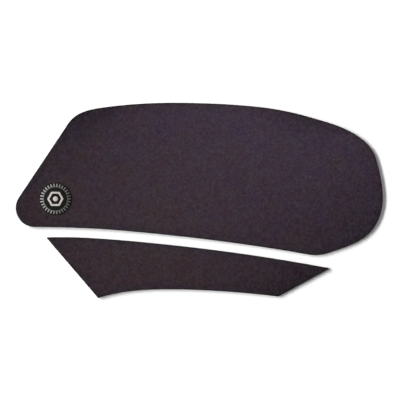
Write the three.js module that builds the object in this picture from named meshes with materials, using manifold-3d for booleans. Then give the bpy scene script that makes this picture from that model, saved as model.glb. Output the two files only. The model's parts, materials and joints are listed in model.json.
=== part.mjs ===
// Tank grip: the stick-on traction pads for one side of a motorcycle's fuel tank, lying flat as they
// come out of their packet. A large upper pad takes the rider's knee, and a narrow lower pad follows its
// lower edge at a constant gap. Each is die-cut from a laminate of grained rubber sheet, adhesive film
// and release liner. The upper pad carries a round printed badge, here with plain marks.
//
// Millimetres. +X runs from the pads' nose to their tail, +Y up the tank's side, +Z out of the grip face.
// The origin is the centre of the footprint, on the surface that the liners lie on.
import * as THREE from 'three';
import { mergeVertices, toCreasedNormals } from 'three/addons/utils/BufferGeometryUtils.js';
import Module from 'manifold-3d';

// Layers of the laminate, from the surface it lies on upwards
const linerThickness = 0.2;
const adhesiveThickness = 0.2;
const sheetThickness = 1.6;
const sheetEdgeRadius = 0.4; // the cutting die rolls the sheet's upper edge over
const sheetEdgeSteps = 4;

// Space between the two pads, square to their facing edges
const padGap = 7.2;

// Upper pad. Heights are above the lowest point of the nose, and headings are the edge's direction in
// degrees from +X, going clockwise round the pad as the grip face shows it.
const upperLength = 275;
const crownHeight = 93.1;
const crownFromNose = 117;
const noseRadius = 14.3;
const frontEdgeHeading = 56.3;
const frontEdgeBelowCrown = 15.6;
const shoulder = { pastFrontEdge: 8.8, belowCrown: 8, heading: 26 };
const brow = { pastFrontEdge: 27, belowCrown: 3.4, heading: 7.5 };
const rearCrown = { fromTail: 97.8, belowCrown: 2.6, heading: -5.3 };
const rearSlope = { fromTail: 57.3, belowCrown: 10.1, heading: -16 };
const tailTop = { fromTail: 26, belowCrown: 20.7, heading: -26.5 };
const tailUpper = { fromTail: 4.8, belowCrown: 42.8, heading: -74.5 };
const tailHeight = 22;
const tailLower = { fromTail: 13.8, height: -7.8, heading: -144 };
const heelRear = { fromTail: 40, height: -19.2, heading: -161 };
const heelFront = { fromTail: 55.5, height: -20.7, heading: 169.9 };
const lowerEdgeBend = { fromNose: 79.8, height: -2.7, heading: 175.1 };

// Lower pad. Its upper edge runs parallel to the upper pad's lower edge, falls away a little to the front
// tip, and runs on past the heel to the rear tip.
const lowerFrontFromNose = 22.7;
const frontTipSetback = 0.5;
const frontTipHeading = 1.5;
const rearTipReach = 17.7;
const frontSideLength = 59.9;
const frontSideHeading = 130.6;
const rearSideLength = 44.4;
const rearSideHeading = -151.5;
const archFromFrontFoot = 51.9;
const archRise = 6.5;
const archRearHeading = 173.2;
const archFrontHeading = -162.7;
const cornerBeyondEdge = 0.15; // how much blunter the corners are than the rolled edge that runs round them
const lowerCornerRadius = sheetEdgeRadius + cornerBeyondEdge;

// Badge, near the nose of the upper pad
const badgeFromNose = 29.8;
const badgeHeight = 21.1;
const badgeThickness = 0.2;
const markThickness = 0.1;
const dotRadius = 1.9;
const dotClearance = 2;
const hexagonStroke = 1.4;
const hexagonClearance = 2.8;
const tickBandWidth = 0.3;
const tickLength = 2.2;
const tickWidth = 0.9;
const tickCount = 30;
const badgeRimWidth = 0.95;

// Furthest that a straight facet may lie from the true curve
const curveTolerance = 0.006;

const wasm = await Module();
wasm.setup();

const rubber = new THREE.MeshStandardMaterial({ color: 0x3a3038, roughness: 0.85, metalness: 0 });
const adhesiveFilm = new THREE.MeshStandardMaterial({ color: 0xb9b4a6, roughness: 0.35, metalness: 0 });
const linerPaper = new THREE.MeshStandardMaterial({ color: 0xe9e4d6, roughness: 0.5, metalness: 0 });
const badgeInk = new THREE.MeshStandardMaterial({ color: 0x171916, roughness: 0.55, metalness: 0 });
const markInk = new THREE.MeshStandardMaterial({ color: 0xcfc7c0, roughness: 0.5, metalness: 0 });

const radians = THREE.MathUtils.degToRad;

/** The unit vector that a heading in degrees points along. */
function along(heading) {
  return new THREE.Vector2(Math.cos(radians(heading)), Math.sin(radians(heading)));
}

/** A point that an edge runs through, with the edge's heading there. */
function station(x, y, heading) {
  return { point: new THREE.Vector2(x, y), heading };
}

/** The turn from one heading to another, in radians, between minus and plus half a turn. */
function turnBetween(from, to) {
  return radians(THREE.MathUtils.euclideanModulo(to - from + 180, 360) - 180);
}

/** The station beside another one, at a distance to its left, with the same heading. */
function stationBeside(origin, distance) {
  const point = origin.point.clone().addScaledVector(along(origin.heading + 90), distance);
  return { point, heading: origin.heading };
}

/** The same station on an edge that is drawn the other way round. */
function reversed(origin) {
  return { point: origin.point, heading: origin.heading + 180 };
}

/** The two stations where a corner of some radius leaves its straight sides. */
function roundedCorner(corner, headingIn, headingOut, radius) {
  const setback = radius * Math.tan(Math.abs(turnBetween(headingIn, headingOut)) / 2);
  const start = corner.clone().addScaledVector(along(headingIn), -setback);
  const end = corner.clone().addScaledVector(along(headingOut), setback);
  return [station(start.x, start.y, headingIn), station(end.x, end.y, headingOut)];
}

/** The curve from one station to the next. It is a circular arc wherever the two headings allow one. */
function curveBetween(from, to) {
  const turn = turnBetween(from.heading, to.heading);
  const handle = from.point.distanceTo(to.point) / (3 * Math.cos(turn / 4) ** 2);
  return new THREE.CubicBezierCurve(
    from.point,
    from.point.clone().addScaledVector(along(from.heading), handle),
    to.point.clone().addScaledVector(along(to.heading), -handle),
    to.point,
  );
}

/** How many straight facets keep a curve of this length and turn within the tolerance. */
function facetsFor(length, turn) {
  return Math.max(1, Math.ceil(Math.sqrt((length * Math.abs(turn)) / (8 * curveTolerance))));
}

/** The closed outline that runs through the stations in order, as the corners of its facets. */
function outlineThrough(stations) {
  return stations.flatMap((from, i) => {
    const to = stations[(i + 1) % stations.length];
    const curve = curveBetween(from, to);
    const facets = facetsFor(curve.getLength(), turnBetween(from.heading, to.heading));
    return curve.getSpacedPoints(facets).slice(0, -1);
  });
}

/** A circle's points about the origin, counter-clockwise. */
function circle(radius) {
  const facets = facetsFor(2 * Math.PI * radius, 2 * Math.PI);
  return Array.from({ length: facets }, (_, i) => along((360 * i) / facets).multiplyScalar(radius));
}

/** A closed three.js geometry as a manifold-3d solid. */
function solidOf(geometry) {
  const bare = geometry.clone();
  bare.deleteAttribute('normal');
  bare.deleteAttribute('uv');
  const merged = mergeVertices(bare, 1e-4);
  return new wasm.Manifold(new wasm.Mesh({
    numProp: 3,
    vertProperties: merged.attributes.position.array,
    triVerts: new Uint32Array(merged.index.array),
  }));
}

/** A manifold-3d solid as a three.js geometry, shaded smooth across shallow edges. */
function geometryOf(solid) {
  const { vertProperties, triVerts } = solid.getMesh();
  const geometry = new THREE.BufferGeometry();
  geometry.setAttribute('position', new THREE.BufferAttribute(vertProperties, 3));
  geometry.setIndex(new THREE.BufferAttribute(triVerts, 1));
  return toCreasedNormals(geometry, radians(30));
}

/** A flat layer with square edges, standing on z = 0. */
function layerGeometry(outline, thickness, holes = []) {
  const shape = new THREE.Shape(outline);
  shape.holes = holes.map((hole) => new THREE.Path(hole));
  return new THREE.ExtrudeGeometry(shape, { depth: thickness, bevelEnabled: false });
}

/** The rubber sheet: its upper edge is rolled over, and its underside is flat and square to its sides. */
function sheetGeometry(outline) {
  const rolled = new THREE.ExtrudeGeometry(new THREE.Shape(outline), {
    depth: sheetThickness - sheetEdgeRadius,
    bevelEnabled: true,
    bevelThickness: sheetEdgeRadius,
    bevelSize: sheetEdgeRadius,
    bevelOffset: -sheetEdgeRadius,
    bevelSegments: sheetEdgeSteps,
  });
  rolled.computeBoundingBox();
  const extent = rolled.boundingBox.getSize(new THREE.Vector3());
  const middle = rolled.boundingBox.getCenter(new THREE.Vector3());
  const belowSheet = new THREE.BoxGeometry(2 * extent.x, 2 * extent.y, 2 * sheetThickness);
  belowSheet.translate(middle.x, middle.y, -sheetThickness);
  return geometryOf(solidOf(rolled).subtract(solidOf(belowSheet)));
}

/** A named mesh at a height above the surface that the pads lie on. */
function placed(name, geometry, material, z) {
  const mesh = new THREE.Mesh(geometry, material);
  mesh.name = name;
  mesh.position.z = z;
  return mesh;
}

/** The upper pad's stations, clockwise from the lowest point of the nose. */
function upperStations() {
  const noseTop = new THREE.Vector2(noseRadius, noseRadius);
  noseTop.addScaledVector(along(frontEdgeHeading + 90), noseRadius);
  const frontEdgeTop = crownHeight - frontEdgeBelowCrown;
  const frontEdgeEnd = noseTop.x + (frontEdgeTop - noseTop.y) / Math.tan(radians(frontEdgeHeading));
  const front = ({ pastFrontEdge, belowCrown, heading }) =>
    station(frontEdgeEnd + pastFrontEdge, crownHeight - belowCrown, heading);
  const rear = ({ fromTail, belowCrown, height = crownHeight - belowCrown, heading }) =>
    station(upperLength - fromTail, height, heading);
  return {
    noseBottom: station(noseRadius, 0, 180),
    noseTop: station(noseTop.x, noseTop.y, frontEdgeHeading),
    frontEdgeEnd: station(frontEdgeEnd, frontEdgeTop, frontEdgeHeading),
    shoulder: front(shoulder),
    brow: front(brow),
    crown: station(crownFromNose, crownHeight, 0),
    rearCrown: rear(rearCrown),
    rearSlope: rear(rearSlope),
    tailTop: rear(tailTop),
    tailUpper: rear(tailUpper),
    tail: station(upperLength, tailHeight, -90),
    tailLower: rear(tailLower),
    heelRear: rear(heelRear),
    heelFront: rear(heelFront),
    lowerEdgeBend: station(lowerEdgeBend.fromNose, lowerEdgeBend.height, lowerEdgeBend.heading),
  };
}

/** The lower pad's stations, clockwise from its front tip, laid out from the upper pad's lower edge. */
function lowerStations(upper) {
  const acrossGap = (origin) => reversed(stationBeside(origin, padGap));
  const bend = acrossGap(upper.lowerEdgeBend);
  const belowHeel = acrossGap(upper.heelFront);
  const frontTip = new THREE.Vector2(lowerFrontFromNose, -padGap - frontTipSetback);
  const rearTip = belowHeel.point.clone().addScaledVector(along(belowHeel.heading), rearTipReach);
  const rearFoot = rearTip.clone().addScaledVector(along(rearSideHeading), rearSideLength);
  const frontFoot = frontTip.clone().addScaledVector(along(frontSideHeading), -frontSideLength);
  const corner = (point, headingIn, headingOut) =>
    roundedCorner(point, headingIn, headingOut, lowerCornerRadius);
  return [
    ...corner(frontTip, frontSideHeading, frontTipHeading),
    bend,
    belowHeel,
    ...corner(rearTip, belowHeel.heading, rearSideHeading),
    ...corner(rearFoot, rearSideHeading, archRearHeading),
    station(frontFoot.x + archFromFrontFoot, frontFoot.y + archRise, 180),
    ...corner(frontFoot, archFrontHeading, frontSideHeading),
  ];
}

/** One pad's three layers, stacked face to face. */
function makePad(name, outline) {
  const pad = new THREE.Group();
  pad.add(
    placed(`${name}_liner`, layerGeometry(outline, linerThickness), linerPaper, 0),
    placed(`${name}_adhesive`, layerGeometry(outline, adhesiveThickness), adhesiveFilm, linerThickness),
    placed(`${name}_grip_sheet`, sheetGeometry(outline), rubber, linerThickness + adhesiveThickness),
  );
  return pad;
}

/** The outline of ticks that stand outwards from a band's outer edge, counter-clockwise. */
function tickRingOutline(bandRadius, tickEndRadius) {
  const pitch = 360 / tickCount;
  const footHalfAngle = THREE.MathUtils.radToDeg(Math.asin(tickWidth / 2 / bandRadius));
  const headHalfAngle = THREE.MathUtils.radToDeg(Math.asin(tickWidth / 2 / tickEndRadius));
  return Array.from({ length: tickCount }, (_, i) => i * pitch).flatMap((middle) => [
    along(middle - footHalfAngle).multiplyScalar(bandRadius),
    along(middle - headHalfAngle).multiplyScalar(tickEndRadius),
    along(middle + headHalfAngle).multiplyScalar(tickEndRadius),
    along(middle + footHalfAngle).multiplyScalar(bandRadius),
    along(middle + pitch / 2).multiplyScalar(bandRadius),
  ]);
}

/** The corners of a hexagon that stands on one of its flats, from half its height. */
function hexagon(halfHeight) {
  const radius = halfHeight / Math.cos(radians(30));
  return Array.from({ length: 6 }, (_, i) => along(60 * i).multiplyScalar(radius));
}

/** The badge: a dark disc on the sheet, with a dot, a hexagon and a ring of ticks printed on it. */
function makeBadge() {
  const hexagonHole = hexagon(dotRadius + dotClearance);
  const hexagonRim = hexagon(dotRadius + dotClearance + hexagonStroke);
  const bandInnerRadius = hexagonRim[0].length() + hexagonClearance;
  const bandRadius = bandInnerRadius + tickBandWidth;
  const tickEndRadius = bandRadius + tickLength;
  const ticks = tickRingOutline(bandRadius, tickEndRadius);
  const disc = layerGeometry(circle(tickEndRadius + badgeRimWidth), badgeThickness);
  const mark = (name, outline, holes) =>
    placed(name, layerGeometry(outline, markThickness, holes), markInk, badgeThickness);
  const badge = new THREE.Group();
  badge.position.set(badgeFromNose, badgeHeight, linerThickness + adhesiveThickness + sheetThickness);
  badge.add(
    placed('badge_disc', disc, badgeInk, 0),
    mark('badge_dot', circle(dotRadius)),
    mark('badge_hexagon', hexagonRim, [hexagonHole]),
    mark('badge_tick_ring', ticks, [circle(bandInnerRadius)]),
  );
  return badge;
}

/** The whole tank grip, with the centre of its footprint at the origin. */
function makeTankGrip() {
  const upper = upperStations();
  const upperOutline = outlineThrough(Object.values(upper));
  const lowerOutline = outlineThrough(lowerStations(upper));
  const centre = new THREE.Box2().setFromPoints([...upperOutline, ...lowerOutline])
    .getCenter(new THREE.Vector2());
  const tankGrip = new THREE.Group();
  tankGrip.name = 'tank_grip';
  tankGrip.add(makePad('upper', upperOutline), makePad('lower', lowerOutline), makeBadge());
  for (const group of tankGrip.children) {
    group.position.x -= centre.x;
    group.position.y -= centre.y;
  }
  return tankGrip;
}

export default makeTankGrip();
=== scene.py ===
"""The finished look of a motorcycle tank grip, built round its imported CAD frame.

The object is two stick-on traction pads that lie flat, with the grip face up. Each pad is a grained
rubber sheet on an adhesive film and a release liner, and the upper one carries a round badge. Lengths
are in metres, in the frame's own axes: +X from nose to tail, +Y up the tank's side, +Z off the face.
"""

from __future__ import annotations

import json
import logging
import math
from collections.abc import Callable, Iterable, Iterator
from contextlib import contextmanager
from dataclasses import dataclass
from enum import Enum

import bpy
import numpy as np
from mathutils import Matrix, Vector
from mathutils.kdtree import KDTree

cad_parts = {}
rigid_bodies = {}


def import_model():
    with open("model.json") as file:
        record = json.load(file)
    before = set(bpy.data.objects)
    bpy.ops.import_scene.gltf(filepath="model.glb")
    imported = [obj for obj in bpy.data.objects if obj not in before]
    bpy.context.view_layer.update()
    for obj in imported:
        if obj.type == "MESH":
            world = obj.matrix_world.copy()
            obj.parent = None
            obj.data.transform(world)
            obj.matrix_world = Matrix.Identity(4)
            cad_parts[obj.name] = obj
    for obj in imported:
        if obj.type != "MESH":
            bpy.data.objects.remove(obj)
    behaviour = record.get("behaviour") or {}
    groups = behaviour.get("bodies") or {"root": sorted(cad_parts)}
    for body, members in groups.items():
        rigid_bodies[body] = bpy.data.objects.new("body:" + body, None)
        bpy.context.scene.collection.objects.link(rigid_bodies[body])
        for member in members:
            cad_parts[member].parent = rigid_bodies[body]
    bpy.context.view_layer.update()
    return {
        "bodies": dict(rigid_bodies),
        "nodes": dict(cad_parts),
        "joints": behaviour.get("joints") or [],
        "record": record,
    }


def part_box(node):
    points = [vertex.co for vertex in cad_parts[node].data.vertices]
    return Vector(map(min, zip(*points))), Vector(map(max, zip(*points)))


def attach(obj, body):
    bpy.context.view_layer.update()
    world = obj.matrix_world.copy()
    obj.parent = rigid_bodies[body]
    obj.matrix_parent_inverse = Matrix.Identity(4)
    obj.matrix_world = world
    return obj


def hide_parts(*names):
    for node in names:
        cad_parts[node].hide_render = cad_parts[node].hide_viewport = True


LOG = logging.getLogger("tank_grip")
MM = 0.001
BODY = "root"

# What the sheets' meshes store for their finish
EDGE_DISTANCE = "edge_distance"
RELIEF = "relief"

# The stretches of a noise's values over which light and dark are spread
NOISE_SPAN = (0.3, 0.7)
WIDE_NOISE_SPAN = (0.25, 0.75)
CLOUD_SPAN = (0.35, 0.65)

Pair = tuple[float, float]
Span = Pair
Triple = tuple[float, float, float]
Colour = Triple
Socket = bpy.types.NodeSocket
Value = float | tuple | Socket
Nodes = dict[str, bpy.types.Object]


class Slot(Enum):
    """The record's material slots."""

    RUBBER = "grip_rubber"
    ADHESIVE = "adhesive"
    LINER = "liner"
    BADGE_GROUND = "badge_ground"
    BADGE_PRINT = "badge_print"


class Blend(Enum):
    """How a second colour acts on the first."""

    COVER = "MIX"
    MULTIPLY = "MULTIPLY"
    ADD = "ADD"


class Element(Enum):
    """What edit mode selects."""

    POINT = "VERT"
    EDGE = "EDGE"
    FACE = "FACE"


class Facing(Enum):
    """Which way a face of a flat layer looks."""

    UP = 1
    ASIDE = 0
    DOWN = -1

    @classmethod
    def of(cls, normal: Vector) -> Facing:
        """Returns the facing of a face from its normal.

        Args:
            normal: The face's outward unit normal.

        Returns:
            UP or DOWN for a face within about 25 degrees of level, and ASIDE for a wall or a rolled edge.
        """
        least_level = 0.9
        if abs(normal.z) < least_level:
            return cls.ASIDE
        return cls.UP if normal.z > 0 else cls.DOWN


class NodeDesk:
    """Adds nodes to one node tree and joins them as it goes."""

    def __init__(self, tree: bpy.types.NodeTree) -> None:
        """Starts on an emptied tree."""
        self.tree = tree
        tree.nodes.clear()

    def add(
        self, kind: str, inputs: dict[str | int, Value] | None = None, **settings: object
    ) -> bpy.types.Node:
        """Adds one node.

        Args:
            kind: The node's type, without its ShaderNode prefix.
            inputs: Values or output sockets for its inputs, by name or by number.
            settings: The node's own properties.

        Returns:
            The new node.
        """
        node = self.tree.nodes.new("ShaderNode" + kind)
        for key, value in settings.items():
            setattr(node, key, value)
        for key, value in (inputs or {}).items():
            if isinstance(value, Socket):
                self.tree.links.new(value, node.inputs[key])
            else:
                node.inputs[key].default_value = value
        return node

    def place(self) -> Socket:
        """Returns where the surface lies, in the frame's axes."""
        return self.add("TexCoord").outputs["Object"]

    def attribute(self, name: str) -> Socket:
        """Returns a number that the piece's mesh stores."""
        return self.add("Attribute", attribute_name=name).outputs["Fac"]

    def noise(self, place: Socket, size: float, detail: float, fineness: float = 0.5) -> Socket:
        """Returns random values in soft patches.

        Args:
            place: Where the surface lies.
            size: About how far across a patch measures.
            detail: How many finer layers are added.
            fineness: How strong each finer layer is against the one before.

        Returns:
            Values from 0 to 1, mostly near a half.
        """
        settings = {"Vector": place, "Scale": 1 / size, "Detail": detail, "Roughness": fineness}
        return self.add("TexNoise", settings).outputs["Fac"]

    def spread(self, value: Value, low: float, high: float, to_low: float, to_high: float) -> Socket:
        """Returns value with the span from low to high stretched to the span from to_low to to_high."""
        span = {"Value": value, "From Min": low, "From Max": high, "To Min": to_low, "To Max": to_high}
        return self.add("MapRange", span, clamp=True).outputs["Result"]

    def mix(self, factor: Value, first: Value, second: Value, blend: Blend = Blend.COVER) -> Socket:
        """Blends two colours.

        Args:
            factor: How strongly the second colour acts, from 0 to 1.
            first: The first colour.
            second: The second colour.
            blend: How the second colour acts on the first.

        Returns:
            The blended colour.
        """
        first_input, second_input, colour_output = 6, 7, 2
        node = self.add("Mix", {0: factor}, data_type="RGBA", blend_type=blend.value)
        for number, value in ((first_input, first), (second_input, second)):
            if isinstance(value, Socket):
                self.tree.links.new(value, node.inputs[number])
            else:
                node.inputs[number].default_value = (*value, 1)
        return node.outputs[colour_output]

    def toned(self, colour: Value, factor: Socket, blend: Blend = Blend.MULTIPLY) -> Socket:
        """Returns a colour multiplied by a grey, or with ADD the sum of the two."""
        grey = self.add("CombineColor", {0: factor, 1: factor, 2: factor}).outputs["Color"]
        return self.mix(1.0, colour, grey, blend)

    def bump(self, height: Socket, depth: float) -> Socket:
        """Returns normals that make a height from 0 to 1 look as deep as depth."""
        return self.add("Bump", {"Height": height, "Distance": depth, "Strength": 1.0}).outputs["Normal"]

    def seen_directly(self) -> Socket:
        """Tells the view of a thing from its light.

        Returns:
            1 for rays from the camera, a reflection or a clear body, and 0 for all other light.
        """
        path = self.add("LightPath").outputs
        mirrored = self.add(
            "Math", {0: path["Is Glossy Ray"], 1: path["Is Transmission Ray"]}, operation="MAXIMUM"
        )
        seen = self.add("Math", {0: path["Is Camera Ray"], 1: mirrored.outputs[0]}, operation="MAXIMUM")
        return seen.outputs[0]


def new_material(name: str) -> tuple[bpy.types.Material, NodeDesk]:
    """Makes an empty material.

    Args:
        name: The material's name.

    Returns:
        The material, and the desk for its nodes.
    """
    material = bpy.data.materials.new(name)
    material.use_nodes = True
    return material, NodeDesk(material.node_tree)


def surface(desk: NodeDesk, **inputs: Value) -> None:
    """Gives a material its one shader.

    Args:
        desk: The material's nodes.
        inputs: The shader's inputs, with an underscore for each space in their names.
    """
    named = {name.replace("_", " "): value for name, value in inputs.items()}
    shader = desk.add("BsdfPrincipled", named)
    desk.add("OutputMaterial", {"Surface": shader.outputs["BSDF"]})


@dataclass(frozen=True)
class Oval:
    """An oval stretch of the grip face, turned about its centre by a number of degrees."""

    x: float
    y: float
    half_length: float
    half_width: float
    turn: float = 0.0

    def reach(self, desk: NodeDesk, place: Socket) -> Socket:
        """Returns how far out a place lies, as a square: 0 at the oval's centre and 1 on its edge.

        Args:
            desk: The material's nodes.
            place: Where the surface lies.

        Returns:
            The squared distance, which goes on rising past the edge.
        """
        frame = {
            "Vector": place,
            "Location": (self.x, self.y, 0),
            "Rotation": (0, 0, math.radians(self.turn)),
            "Scale": (self.half_length, self.half_width, 1),
        }
        from_centre = desk.add("Mapping", frame, vector_type="TEXTURE").outputs["Vector"]
        squared = desk.add("VectorMath", {0: from_centre, 1: from_centre}, operation="DOT_PRODUCT")
        return squared.outputs["Value"]


@dataclass(frozen=True)
class GrainedRubber:
    """Matt black rubber with a fine pebble grain and light specks, faintly violet, with painted shade at
    its rim and corners and a painted pool of light.
    """

    name: str = "grained_rubber"

    # Colours of the face, and how the violet tint lies and wanders over it
    warm: Colour = (0.0358, 0.0233, 0.0284)
    cool: Colour = (0.0337, 0.0233, 0.0366)
    # The rim colour is painted shade along the sheet's edge, fading out a few millimetres inward
    rim: Colour = (0.0293, 0.0211, 0.0281)
    rim_shade_reach: Span = (0.0, 7.7 * MM)
    tint_axis: Triple = (3.0, 7.5, 0.0)
    tint_patch: float = 22 * MM
    patch_weight: float = 1.3
    drift_patch: float = 9 * MM
    drift_reach: Colour = (0.0095, 0.0095, 0.0122)

    # Painted light and shade over the whole face: a painted pool of light, painted shade at the corners
    # and painted shade on the edge's lip
    light_pool: Oval = Oval(127 * MM, 160 * MM, 379 * MM, 146 * MM, turn=43.4)
    light_pool_lightness: Span = (1.385, 0.588)
    # Painted shade at three corners of the face: each oval is darkest at its middle
    shaded_corners: tuple[tuple[Oval, float], ...] = (
        (Oval(-99 * MM, 88 * MM, 50 * MM, 50 * MM), 0.50),
        (Oval(83 * MM, 90 * MM, 49 * MM, 49 * MM), 0.60),
        (Oval(76 * MM, -82 * MM, 33 * MM, 33 * MM), 0.61),
    )
    lip_shade_reach: Span = (0.6 * MM, 1.9 * MM)
    lip_shade_lightness: Span = (0.80, 1.0)

    # The grain: how wide each of its marks is, and how much light each adds or takes
    cell: float = 1.05 * MM
    cell_softness: float = 0.35
    cell_span: Span = (0.2, 0.8)
    cell_tone: Span = (-0.0034, 0.0034)
    # The grain is lighter on its crests, and darker in its grooves and deeper hollows
    groove_span: Span = (0.2, 0.7)
    groove_tone: Span = (0.0018, -0.0021)
    relief_tone: Span = (0.0026, -0.0040)
    fleck: float = 0.5 * MM
    fleck_tone: Span = (-0.0012, 0.0012)
    speck: float = 1.2 * MM
    speck_span: Span = (0.60, 0.75)
    speck_tone: Span = (-0.0020, 0.0160)
    speck_share_far: float = 0.3
    mottle: float = 2.7 * MM
    mottle_tone: Span = (-0.0076, 0.0076)
    grain_depth: float = 0.07 * MM
    roughness: Span = (0.76, 0.92)
    gloss: float = 0.12

    def material(self) -> bpy.types.Material:
        """Makes the finish, which reads the edge distance and the relief that the sheet's mesh stores.

        Returns:
            The material.
        """
        material, desk = new_material(self.name)
        place = desk.place()
        distance = desk.attribute(EDGE_DISTANCE)
        relief = desk.attribute(RELIEF)
        flecks = desk.noise(place, self.fleck, detail=2.0)
        mottle = desk.noise(place, self.mottle, detail=4.0, fineness=0.6)
        cell_shape = {"Vector": place, "Scale": 1 / self.cell, "Smoothness": self.cell_softness}
        cells = desk.add("TexVoronoi", cell_shape, feature="SMOOTH_F1").outputs
        cell_value = desk.add("SeparateColor", {"Color": cells["Color"]}).outputs[0]
        # How far each place lies from the middle of the painted pool of light
        outside_light_pool = self.light_pool.reach(desk, place)
        body = desk.mix(self.tint(desk, place), self.warm, self.cool)
        # Painted shade along the rim, and darker painted shade on the outermost lip
        colour = desk.mix(desk.spread(distance, *self.rim_shade_reach, 0, 1), self.rim, body)
        colour = desk.toned(colour, desk.spread(distance, *self.lip_shade_reach, *self.lip_shade_lightness))
        # Painted pool of light: lighter in its middle, darker far from it
        colour = desk.toned(colour, desk.spread(outside_light_pool, 0, 1, *self.light_pool_lightness))
        # Painted shade at the corners of the face
        for corner, lightness in self.shaded_corners:
            colour = desk.toned(colour, desk.spread(corner.reach(desk, place), 0, 1, lightness, 1))
        colour = desk.mix(1.0, colour, self.drift(desk, place), Blend.ADD)
        tones = (
            desk.spread(cell_value, *self.cell_span, *self.cell_tone),
            desk.spread(cells["Distance"], *self.groove_span, *self.groove_tone),
            desk.spread(relief, 0, 1, *self.relief_tone),
            desk.spread(flecks, *NOISE_SPAN, *self.fleck_tone),
            self.specks(desk, place, outside_light_pool),
            desk.spread(mottle, *WIDE_NOISE_SPAN, *self.mottle_tone),
        )
        for tone in tones:
            colour = desk.toned(colour, tone, Blend.ADD)
        surface(
            desk,
            Base_Color=colour,
            Roughness=desk.spread(flecks, *NOISE_SPAN, *self.roughness),
            Specular_IOR_Level=self.gloss,
            Normal=desk.bump(cells["Distance"], -self.grain_depth),
        )
        return material

    def tint(self, desk: NodeDesk, place: Socket) -> Socket:
        """Returns how cool the rubber's tint is, in patches.

        Args:
            desk: The material's nodes.
            place: Where the surface lies.

        Returns:
            Mostly 0, which is warm, at the lower nose, and mostly 1 at the upper tail.
        """
        half, reach = 0.5, self.patch_weight / 2
        slope = desk.add("VectorMath", {0: place, 1: self.tint_axis}, operation="DOT_PRODUCT")
        noise = desk.noise(place, self.tint_patch, detail=5.0, fineness=0.62)
        patches = desk.spread(noise, *WIDE_NOISE_SPAN, half - reach, half + reach)
        whole = {0: slope.outputs["Value"], 1: patches}
        return desk.add("Math", whole, operation="ADD", use_clamp=True).outputs[0]

    def drift(self, desk: NodeDesk, place: Socket) -> Socket:
        """Returns a small colour to add, whose red, green and blue wander each by themselves.

        Args:
            desk: The material's nodes.
            place: Where the surface lies.

        Returns:
            The colour, which is black on average and is below black in places.
        """
        middle = (0.5, 0.5, 0.5)
        patches = desk.add("TexNoise", {"Vector": place, "Scale": 1 / self.drift_patch, "Detail": 3.0})
        centred = desk.add("VectorMath", {0: patches.outputs["Color"], 1: middle}, operation="SUBTRACT")
        sized = {0: centred.outputs["Vector"], 1: self.drift_reach}
        return desk.add("VectorMath", sized, operation="MULTIPLY").outputs["Vector"]

    def specks(self, desk: NodeDesk, place: Socket, outside_light_pool: Socket) -> Socket:
        """Returns the tone of small light specks, most of them in the painted pool of light.

        Args:
            desk: The material's nodes.
            place: Where the surface lies.
            outside_light_pool: How far a place lies from the middle of the painted pool of light.

        Returns:
            The tone to add: slightly dark between the specks, and light on them.
        """
        noise = desk.noise(place, self.speck, detail=1.0)
        tone = desk.spread(noise, *self.speck_span, *self.speck_tone)
        share = desk.spread(outside_light_pool, 0, 1, 1, self.speck_share_far)
        return desk.add("Math", {0: tone, 1: share}, operation="MULTIPLY").outputs[0]


@dataclass(frozen=True)
class CutRubber:
    """The die-cut wall of the rubber sheet: smooth and dense, with faint upright drag marks."""

    name: str = "cut_rubber"
    colour: Colour = (0.010, 0.008, 0.009)
    drag_mark: float = 0.35 * MM
    drag_stretch: float = 0.08
    mark_tone: Span = (0.85, 1.15)
    mark_depth: float = 0.012 * MM
    roughness: Span = (0.5, 0.66)
    gloss: float = 0.2

    def material(self) -> bpy.types.Material:
        """Makes the finish.

        Returns:
            The material.
        """
        material, desk = new_material(self.name)
        stretched = {"Vector": desk.place(), "Scale": (1, 1, self.drag_stretch)}
        upright = desk.add("Mapping", stretched).outputs["Vector"]
        marks = desk.noise(upright, self.drag_mark, detail=4.0)
        surface(
            desk,
            Base_Color=desk.toned(self.colour, desk.spread(marks, *NOISE_SPAN, *self.mark_tone)),
            Roughness=desk.spread(marks, *NOISE_SPAN, *self.roughness),
            Specular_IOR_Level=self.gloss,
            Normal=desk.bump(marks, self.mark_depth),
        )
        return material


@dataclass(frozen=True)
class AdhesiveFilm:
    """Clear acrylic film, slightly milky, with the fine cloudiness of a coated layer."""

    name: str = "adhesive_film"
    clear: Colour = (0.44, 0.41, 0.34)
    milky: Colour = (0.52, 0.49, 0.43)
    cloud: float = 1.4 * MM
    cloud_depth: float = 0.01 * MM
    roughness: Span = (0.28, 0.42)

    def material(self) -> bpy.types.Material:
        """Makes the finish.

        Returns:
            The material.
        """
        material, desk = new_material(self.name)
        clouds = desk.noise(desk.place(), self.cloud, detail=4.0)
        surface(
            desk,
            Base_Color=desk.mix(desk.spread(clouds, *CLOUD_SPAN, 0, 1), self.clear, self.milky),
            Roughness=desk.spread(clouds, *NOISE_SPAN, *self.roughness),
            Normal=desk.bump(clouds, self.cloud_depth),
        )
        return material


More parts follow.
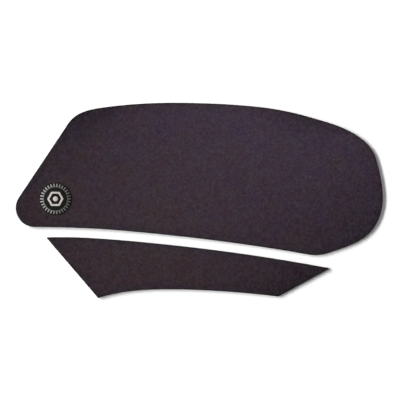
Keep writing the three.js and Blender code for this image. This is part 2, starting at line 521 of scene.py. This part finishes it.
@dataclass(frozen=True)
class LinerPaper:
    """Siliconed release paper: off-white, with cloudy fibres, a hair of tooth and a dull sheen."""

    name: str = "liner_paper"
    pale: Colour = (0.83, 0.79, 0.70)
    dense: Colour = (0.76, 0.72, 0.62)
    cloud: float = 7 * MM
    fibre: float = 0.5 * MM
    fibre_stretch: float = 0.25
    fibre_tone: Span = (0.95, 1.04)
    tooth: float = 0.008 * MM
    roughness: Span = (0.42, 0.58)
    silicone: float = 0.25
    silicone_roughness: float = 0.3

    def material(self) -> bpy.types.Material:
        """Makes the finish.

        Returns:
            The material.
        """
        material, desk = new_material(self.name)
        place = desk.place()
        stretched = {"Vector": place, "Scale": (self.fibre_stretch, 1, 1)}
        along_grain = desk.add("Mapping", stretched).outputs["Vector"]
        fibres = desk.noise(along_grain, self.fibre, detail=6.0)
        clouds = desk.noise(place, self.cloud, detail=3.0)
        formation = desk.mix(desk.spread(clouds, *CLOUD_SPAN, 0, 1), self.pale, self.dense)
        surface(
            desk,
            Base_Color=desk.toned(formation, desk.spread(fibres, *NOISE_SPAN, *self.fibre_tone)),
            Roughness=desk.spread(fibres, *NOISE_SPAN, *self.roughness),
            Coat_Weight=self.silicone,
            Coat_Roughness=self.silicone_roughness,
            Normal=desk.bump(fibres, self.tooth),
        )
        return material


@dataclass(frozen=True)
class BadgeFilm:
    """The badge's satin black film, with the faint orange peel of a printed coat."""

    name: str = "badge_film"
    ground: Colour = (0.0040, 0.0042, 0.0034)
    peel: float = 0.7 * MM
    peel_tone: Span = (0.7, 1.3)
    peel_depth: float = 0.01 * MM
    roughness: Span = (0.5, 0.64)
    gloss: float = 0.08

    def material(self) -> bpy.types.Material:
        """Makes the finish.

        Returns:
            The material.
        """
        material, desk = new_material(self.name)
        peel = desk.noise(desk.place(), self.peel, detail=3.0)
        surface(
            desk,
            Base_Color=desk.toned(self.ground, desk.spread(peel, *NOISE_SPAN, *self.peel_tone)),
            Roughness=desk.spread(peel, *NOISE_SPAN, *self.roughness),
            Specular_IOR_Level=self.gloss,
            Normal=desk.bump(peel, self.peel_depth),
        )
        return material


@dataclass(frozen=True)
class BadgePrint:
    """The badge's pale print, which painted shade can darken towards one side of the badge."""

    name: str
    # thick is the print's own colour, and thin the darker colour that painted shade gives it at the far
    # side
    thick: Colour
    thin: Colour
    fade_from: float
    fade_to: float
    mottle: float = 1.1 * MM
    mottle_tone: Span = (0.82, 1.08)
    mottle_depth: float = 0.006 * MM
    roughness: Span = (0.45, 0.6)
    gloss: float = 0.3

    def material(self) -> bpy.types.Material:
        """Makes the finish, which goes from thick to thin along +X between its two places, as painted
        shade.

        Returns:
            The material.
        """
        material, desk = new_material(self.name)
        place = desk.place()
        across = desk.add("SeparateXYZ", {0: place}).outputs["X"]
        fade = desk.spread(across, self.fade_from, self.fade_to, 0, 1)
        mottle = desk.noise(place, self.mottle, detail=3.0)
        ink = desk.mix(fade, self.thick, self.thin)
        surface(
            desk,
            Base_Color=desk.toned(ink, desk.spread(mottle, *NOISE_SPAN, *self.mottle_tone)),
            Roughness=desk.spread(mottle, *NOISE_SPAN, *self.roughness),
            Specular_IOR_Level=self.gloss,
            Normal=desk.bump(mottle, self.mottle_depth),
        )
        return material


Finish = GrainedRubber | CutRubber | AdhesiveFilm | LinerPaper | BadgeFilm | BadgePrint


def shared(finish: Finish) -> bpy.types.Material:
    """Returns a finish's material, which is made once and then used again."""
    return bpy.data.materials.get(finish.name) or finish.material()


def select_only(piece: bpy.types.Object) -> None:
    """Selects one object, and makes it the active one.

    Args:
        piece: The object.
    """
    bpy.ops.object.select_all(action="DESELECT")
    piece.select_set(True)
    bpy.context.view_layer.objects.active = piece


@contextmanager
def editing(piece: bpy.types.Object, element: Element = Element.FACE) -> Iterator[None]:
    """Opens a mesh in edit mode with nothing selected, and leaves edit mode afterwards.

    Args:
        piece: The object to edit.
        element: What is selected.

    Yields:
        Nothing; the with block runs in edit mode.
    """
    select_only(piece)
    bpy.ops.object.mode_set(mode="EDIT")
    bpy.ops.mesh.select_mode(type=element.value)
    bpy.ops.mesh.select_all(action="DESELECT")
    yield
    bpy.ops.object.mode_set(mode="OBJECT")


def select_faces(piece: bpy.types.Object, wanted: Callable[[bpy.types.MeshPolygon], bool]) -> None:
    """Selects the faces that a test picks, from edit mode.

    Args:
        piece: The object in edit mode.
        wanted: Says whether a face is to be selected.
    """
    bpy.ops.object.mode_set(mode="OBJECT")
    for polygon in piece.data.polygons:
        polygon.select = wanted(polygon)
    bpy.ops.object.mode_set(mode="EDIT")


def apply_all_modifiers(piece: bpy.types.Object) -> None:
    """Turns a piece's modifiers into plain mesh, in their order.

    Args:
        piece: The object that has them.
    """
    select_only(piece)
    for modifier in list(piece.modifiers):
        bpy.ops.object.modifier_apply(modifier=modifier.name)


def merged_copy(node: bpy.types.Object, name: str) -> bpy.types.Object:
    """Returns a clean copy of a CAD node, to be shaped further.

    Args:
        node: The CAD node, which stays as it is.
        name: The new piece's name.

    Returns:
        The copy, with its triangles joined and each level face made one polygon.
    """
    weld = 0.0005 * MM
    level = 0.9999
    flat_within = 1.0
    piece = bpy.data.objects.new(name, node.data.copy())
    bpy.context.scene.collection.objects.link(piece)
    piece.data.name = name
    piece.data.materials.clear()
    with editing(piece, Element.POINT):
        bpy.ops.mesh.select_all(action="SELECT")
        bpy.ops.mesh.remove_doubles(threshold=weld)
        bpy.ops.mesh.customdata_custom_splitnormals_clear()
    with editing(piece):
        select_faces(piece, lambda face: abs(face.normal.z) > level)
        bpy.ops.mesh.dissolve_limited(angle_limit=math.radians(flat_within))
    return piece


def smooth_shaded(piece: bpy.types.Object, sharpest: float = 32.0) -> None:
    """Shades a piece smooth, apart from edges sharper than an angle in degrees."""
    select_only(piece)
    bpy.ops.object.shade_smooth_by_angle(angle=math.radians(sharpest))


def hand_over(piece: bpy.types.Object, node: str) -> None:
    """Lets a finished piece stand for its CAD node and ride with the part.

    Args:
        piece: The finished piece.
        node: The CAD node that it replaces.
    """
    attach(piece, BODY)
    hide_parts(node)
    LOG.info("%s: %d faces, stands for %s", piece.name, len(piece.data.polygons), node)


def levelled(point: Vector) -> Vector:
    """Returns the place straight above or below a point, at height 0."""
    return Vector((point.x, point.y, 0))


def stepped(start: Vector, end: Vector, longest: float) -> list[Vector]:
    """Returns points that lead from one place towards another, which is left out.

    Args:
        start: The first point.
        end: Where the points lead.
        longest: The longest step from one point to the next.

    Returns:
        The points, evenly spaced and brought to height 0.
    """
    steps = max(1, math.ceil((end - start).length / longest))
    return [levelled(start.lerp(end, step / steps)) for step in range(steps)]


@dataclass(frozen=True)
class Circle:
    """A circle on the grip face."""

    centre: Vector
    radius: float

    @classmethod
    def round_node(cls, node: str) -> Circle:
        """Returns the circle that bounds a round CAD node, seen from above."""
        low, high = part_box(node)
        return cls((low + high) / 2, (high.x - low.x) / 2)


@dataclass
class GripSheet:
    """A pad's rubber sheet: the CAD solid, with its top face worked into a pebble grain."""

    node: str
    pressed: Circle | None = None
    press_margin: float = 1.2 * MM
    facet: float = 0.6 * MM
    below_face: float = 0.002 * MM
    slab_margin: float = 2 * MM
    pebble: float = 1.7 * MM
    pebble_depth: float = 0.10 * MM
    crumb: float = 0.9 * MM
    crumb_depth: float = 0.05 * MM
    crest: float = 0.8
    outline_step: float = 0.25 * MM

    def build(self, nodes: Nodes, finish: GrainedRubber, cut: CutRubber) -> None:
        """Makes the sheet and dresses it.

        Args:
            nodes: The CAD nodes by name.
            finish: The finish of its face.
            cut: The finish of its die-cut wall.
        """
        piece = merged_copy(nodes[self.node], self.node + "_grained")
        outline = self.outline(piece)
        slab = self.grain_slab()
        trim = piece.modifiers.new("grain", "BOOLEAN")
        trim.operation = "INTERSECT"
        trim.solver = "MANIFOLD"
        trim.object = slab
        apply_all_modifiers(piece)
        bpy.data.objects.remove(slab)
        smooth_shaded(piece)
        self.measure(piece, outline)
        piece.data.materials.clear()
        piece.data.materials.append(shared(finish))
        piece.data.materials.append(shared(cut))
        for polygon in piece.data.polygons:
            polygon.material_index = int(Facing.of(polygon.normal) is Facing.ASIDE)
        hand_over(piece, self.node)

    def outline(self, piece: bpy.types.Object) -> KDTree:
        """Finds the sheet's outline.

        Args:
            piece: The sheet, before it has its grain.

        Returns:
            Closely spaced points of the outline, to be searched by nearness.
        """
        with editing(piece):
            select_faces(piece, lambda face: Facing.of(face.normal) is Facing.DOWN)
            bpy.ops.mesh.region_to_loop()
        vertices = piece.data.vertices
        rim = [[vertices[end].co for end in edge.vertices] for edge in piece.data.edges if edge.select]
        points = [point for start, end in rim for point in stepped(start, end, self.outline_step)]
        tree = KDTree(len(points))
        for number, point in enumerate(points):
            tree.insert(point, number)
        tree.balance()
        return tree

    def grain_slab(self) -> bpy.types.Object:
        """Makes a slab, larger than the sheet, whose upper face has the grain.

        Returns:
            The slab, as a closed mesh.
        """
        low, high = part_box(self.node)
        size = high - low + Vector((2, 2, 2)) * self.slab_margin
        middle = (low + high) / 2
        bpy.ops.object.select_all(action="DESELECT")
        bpy.ops.mesh.primitive_grid_add(
            x_subdivisions=round(size.x / self.facet),
            y_subdivisions=round(size.y / self.facet),
            size=1,
            location=(middle.x, middle.y, high.z - self.below_face),
        )
        slab = bpy.context.active_object
        slab.scale = (size.x, size.y, 1)
        bpy.ops.object.transform_apply(location=True, rotation=True, scale=True)
        self.raise_grain(slab)
        with editing(slab, Element.EDGE):
            bpy.ops.mesh.select_non_manifold()
            bpy.ops.mesh.extrude_edges_move(TRANSFORM_OT_translate={"value": (0, 0, -size.z)})
            bpy.ops.mesh.edge_face_add()
            bpy.ops.mesh.select_all(action="SELECT")
            bpy.ops.mesh.normals_make_consistent(inside=False)
        return slab

    def raise_grain(self, slab: bpy.types.Object) -> None:
        """Sinks a level grid into pebbles and crumbs, apart from the place that the badge is pressed on.

        Args:
            slab: The level grid.
        """
        group = slab.vertex_groups.new(name="grained")
        group.add(range(len(slab.data.vertices)), 1.0, "REPLACE")
        if self.pressed:
            for vertex in slab.data.vertices:
                out = (vertex.co - self.pressed.centre).to_2d().length - self.pressed.radius
                if out < self.press_margin:
                    group.add([vertex.index], max(0.0, out / self.press_margin), "REPLACE")
        # The nearest cell's distance taken from the next one's leaves round pebbles with creases between
        pebbles = bpy.data.textures.new("pebbles", "VORONOI")
        pebbles.noise_scale = self.pebble
        pebbles.weight_1 = -1
        pebbles.weight_2 = 1
        crumbs = bpy.data.textures.new("crumbs", "CLOUDS")
        crumbs.noise_scale = self.crumb
        for texture, depth in ((pebbles, self.pebble_depth), (crumbs, self.crumb_depth)):
            displace = slab.modifiers.new(texture.name, "DISPLACE")
            displace.texture = texture
            displace.texture_coords = "LOCAL"
            displace.direction = "Z"
            displace.vertex_group = group.name
            displace.mid_level = self.crest
            displace.strength = depth
        apply_all_modifiers(slab)

    def measure(self, piece: bpy.types.Object, outline: KDTree) -> None:
        """Stores each vertex's distance from the outline and its depth in the grain, for the finish.

        Args:
            piece: The sheet, with its grain.
            outline: Points of the sheet's outline.
        """
        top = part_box(self.node)[1].z
        deepest = self.crest * (self.pebble_depth + self.crumb_depth)
        points = [vertex.co for vertex in piece.data.vertices]
        distances = [outline.find(levelled(point))[2] for point in points]
        depths = [min(1.0, (top - point.z) / deepest) for point in points]
        for name, values in ((EDGE_DISTANCE, distances), (RELIEF, depths)):
            attribute = piece.data.attributes.new(name, "FLOAT", "POINT")
            attribute.data.foreach_set("value", np.array(values, np.float32))


@dataclass
class FlatLayer:
    """A thin die-cut layer under a sheet, such as its adhesive film or its liner."""

    node: str
    name: str
    slot: Slot

    def build(self, nodes: Nodes, finish: AdhesiveFilm | LinerPaper) -> None:
        """Makes the layer and dresses it.

        Args:
            nodes: The CAD nodes by name.
            finish: The layer's finish.
        """
        piece = merged_copy(nodes[self.node], self.name)
        smooth_shaded(piece)
        piece.data.materials.append(shared(finish))
        hand_over(piece, self.node)


@dataclass
class GripPad:
    """One pad: a grained sheet on its adhesive film and release liner."""

    prefix: str
    pressed: Circle | None = None

    def build(self, nodes: Nodes) -> None:
        """Makes the pad's three layers.

        Args:
            nodes: The CAD nodes by name.
        """
        sheet = GripSheet(f"{self.prefix}_grip_sheet", self.pressed)
        film = FlatLayer(f"{self.prefix}_adhesive", f"{self.prefix}_adhesive_film", Slot.ADHESIVE)
        liner = FlatLayer(f"{self.prefix}_liner", f"{self.prefix}_release_liner", Slot.LINER)
        sheet.build(nodes, GrainedRubber(), CutRubber())
        film.build(nodes, AdhesiveFilm())
        liner.build(nodes, LinerPaper())


@dataclass
class Badge:
    """The round badge: a black film with pale raised marks, each with its edges softened."""

    film: str = "badge_disc"
    ring: str = "badge_tick_ring"
    emblem: tuple[str, ...] = ("badge_hexagon", "badge_dot")
    film_edge: float = 0.07 * MM
    mark_edge: float = 0.035 * MM
    edge_steps: int = 2
    emblem_print: Colour = (0.58, 0.53, 0.50)
    # The ring's print takes painted shade that darkens it towards its right side
    ring_print: Colour = (0.40, 0.38, 0.37)
    shaded_print: Colour = (0.07, 0.065, 0.065)

    def softened(self, node: bpy.types.Object, name: str, edge: float) -> bpy.types.Object:
        """Returns a copy of a flat node with its upper edges rounded.

        Args:
            node: The CAD node.
            name: The new piece's name.
            edge: The radius of the rounding.

        Returns:
            The piece, without a finish.
        """
        piece = merged_copy(node, name)
        with editing(piece):
            select_faces(piece, lambda face: Facing.of(face.normal) is Facing.UP)
            bpy.ops.mesh.region_to_loop()
            bpy.ops.mesh.bevel(offset=edge, segments=self.edge_steps, profile=0.5, clamp_overlap=True)
        smooth_shaded(piece)
        return piece

    def build(self, nodes: Nodes) -> None:
        """Makes the film and its marks.

        Args:
            nodes: The CAD nodes by name.
        """
        film = self.softened(nodes[self.film], "badge_film", self.film_edge)
        film.data.materials.append(shared(BadgeFilm()))
        hand_over(film, self.film)
        circle = Circle.round_node(self.film)
        left, right = circle.centre.x - circle.radius, circle.centre.x + circle.radius
        # The ring's print is painted darker towards the right, as shade
        shaded_ring_print = BadgePrint("ring_print", self.ring_print, self.shaded_print, left, right)
        even = BadgePrint("emblem_print", self.emblem_print, self.emblem_print, left, right)
        finishes = {self.ring: shaded_ring_print} | dict.fromkeys(self.emblem, even)
        for node, finish in finishes.items():
            mark = self.softened(nodes[node], node + "_print", self.mark_edge)
            mark.data.materials.append(shared(finish))
            hand_over(mark, node)


@dataclass
class Studio:
    """A white floor under a row of low soft suns at the upper left, with a camera straight above."""

    view_width: float = 299.4 * MM
    aim: Pair = (0.51 * MM, 0.25 * MM)
    lens: float = 100.0
    sensor: float = 36.0
    clip: Span = (0.01, 100.0)
    pad_height: float = 2.0 * MM
    shadow_reach: Pair = (3.40 * MM, -1.05 * MM)
    shadow_spread: float = 3.2 * MM
    key_suns: int = 5
    key_softness: float = 17.0
    key_share: float = 0.87
    fill_share: float = 0.10
    top_light_power: float = 0.09
    top_light_place: Triple = (0.05, 0.14, 0.32)
    top_light_target: Triple = (0.03, 0.03, 0.0)
    top_light_size: float = 0.18
    floor_white: float = 0.95
    floor_lift: float = 0.08
    floor_size: float = 8.0
    floor_drop: float = 0.02 * MM

    def build(self) -> None:
        """Makes the floor, the lights, the world and the camera."""
        self.make_floor()
        self.make_key_light()
        self.make_top_light()
        self.make_world()
        self.make_camera()
        bpy.context.scene.view_settings.view_transform = "Standard"

    def make_floor(self) -> None:
        """Lays the floor just under the liners."""
        bpy.ops.object.select_all(action="DESELECT")
        bpy.ops.mesh.primitive_plane_add(size=self.floor_size, location=(0, 0, -self.floor_drop))
        floor = bpy.context.active_object
        floor.name = "floor"
        material, desk = new_material("white_floor")
        paint = desk.add("BsdfDiffuse", {"Color": (self.floor_white,) * 3 + (1,)}).outputs["BSDF"]
        lift = desk.spread(desk.seen_directly(), 0, 1, 0, self.floor_lift)
        glow = desk.add("Emission", {"Strength": lift}).outputs["Emission"]
        both = desk.add("AddShader", {0: paint, 1: glow}).outputs["Shader"]
        desk.add("OutputMaterial", {"Surface": both})
        floor.data.materials.append(material)

    def make_key_light(self) -> None:
        """Hangs a row of soft suns, placed by how far each one throws a pad's shadow."""
        for number in range(self.key_suns):
            along_row = (number / (self.key_suns - 1) - 0.5) * self.shadow_spread
            across, up = self.shadow_reach[0], self.shadow_reach[1] + along_row
            towards = Vector((-across, -up, self.pad_height)).normalized()
            bpy.ops.object.light_add(type="SUN", rotation=towards.to_track_quat("Z", "Y").to_euler())
            sun = bpy.context.active_object
            sun.name = f"key_light_{number + 1}"
            sun.data.angle = math.radians(self.key_softness)
            sun.data.energy = math.pi * self.key_share / self.key_suns / towards.z

    def make_top_light(self) -> None:
        """Hangs a small soft light above the pads' upper edge."""
        place, target = Vector(self.top_light_place), Vector(self.top_light_target)
        turn = (place - target).to_track_quat("Z", "Y").to_euler()
        bpy.ops.object.light_add(type="AREA", location=place, rotation=turn)
        light = bpy.context.active_object
        light.name = "top_light"
        light.data.shape = "DISK"
        light.data.size = self.top_light_size
        light.data.energy = self.top_light_power
        light.visible_camera = False

    def make_world(self) -> None:
        """Fills the shadows a little, and shows white wherever the world itself is seen."""
        world = bpy.data.worlds.new("white_world")
        bpy.context.scene.world = world
        world.use_nodes = True
        desk = NodeDesk(world.node_tree)
        strength = desk.spread(desk.seen_directly(), 0, 1, self.fill_share, 1)
        sky = desk.add("Background", {"Color": (1, 1, 1, 1), "Strength": strength})
        desk.add("OutputWorld", {"Surface": sky.outputs["Background"]})

    def make_camera(self) -> None:
        """Looks straight down, with the view's width set at the height of the pads."""
        distance = self.view_width * self.lens / self.sensor
        bpy.ops.object.camera_add(location=(*self.aim, self.pad_height + distance), rotation=(0, 0, 0))
        camera = bpy.context.active_object
        camera.name = "camera"
        camera.data.lens = self.lens
        camera.data.sensor_width = self.sensor
        camera.data.clip_start, camera.data.clip_end = self.clip
        bpy.context.scene.camera = camera


def empty_scene(objects: Iterable[bpy.types.Object]) -> None:
    """Removes what the scene starts with."""
    for thing in list(objects):
        bpy.data.objects.remove(thing)


def main() -> None:
    """Builds the pads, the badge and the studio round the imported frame."""
    logging.basicConfig(level=logging.INFO, format="%(name)s: %(message)s")
    empty_scene(bpy.data.objects)
    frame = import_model()
    nodes = frame["nodes"]
    badge = Badge()
    GripPad("upper", pressed=Circle.round_node(badge.film)).build(nodes)
    GripPad("lower").build(nodes)
    badge.build(nodes)
    Studio().build()


if __name__ == "__main__":
    main()
